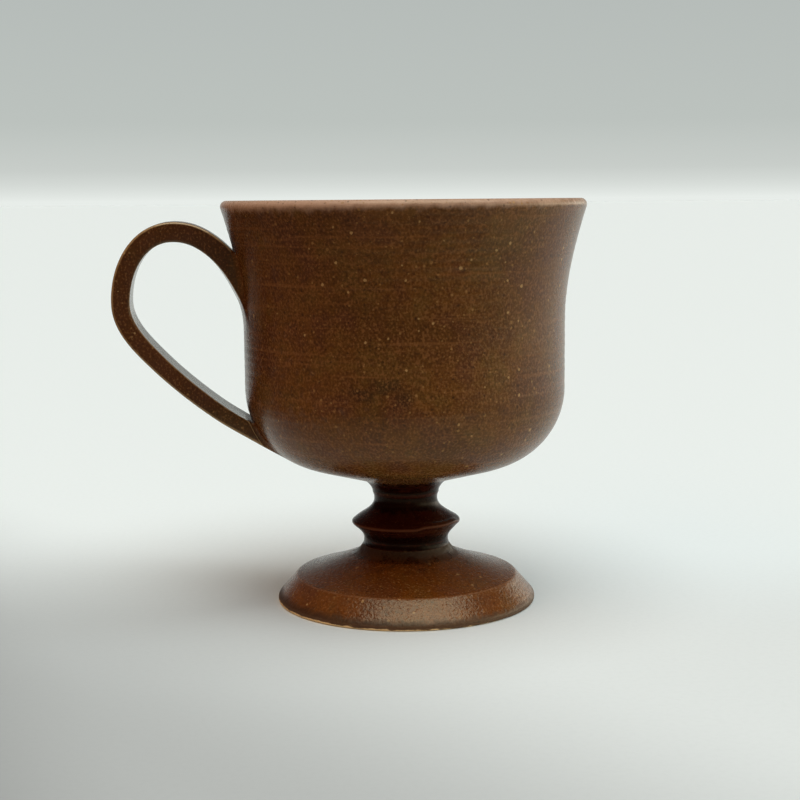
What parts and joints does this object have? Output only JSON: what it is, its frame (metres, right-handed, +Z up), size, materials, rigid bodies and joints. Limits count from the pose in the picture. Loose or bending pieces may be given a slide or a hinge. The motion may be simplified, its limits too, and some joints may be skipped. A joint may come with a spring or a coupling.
{
  "type": "footed coffee cup",
  "caption": "Footed stoneware coffee cup: a flared bowl on a knopped stem and a spreading foot, with a flat strap handle, all luted together with slip.",
  "frame": {"origin": "middle of the overall box, on the surface that the foot stands on", "axes": "+Z up along the cup's turning axis, -X towards the handle, +Y across the handle's strap"},
  "size_m": [0.1228, 0.095, 0.106],
  "materials": {
    "bowl_glaze": "satin iron-brown glaze with tan specks, breaking paler on the lip",
    "handle_glaze": "satin iron-brown glaze, paler along the strap's edges",
    "stem_glaze": "dark iron-brown glaze, thick in the necks and thin on the knop",
    "foot_glaze": "satin iron-brown glaze above a bare clay ring",
    "joining_slip": "fired joining slip under the glaze"
  },
  "bodies": {
    "root": {"bowl": "bowl_glaze", "handle": "handle_glaze", "stem": "stem_glaze", "foot": "foot_glaze", "bowl_joint_slip": "joining_slip", "foot_joint_slip": "joining_slip", "upper_handle_slip": "joining_slip", "lower_handle_slip": "joining_slip"}
  },
  "joints": []
}
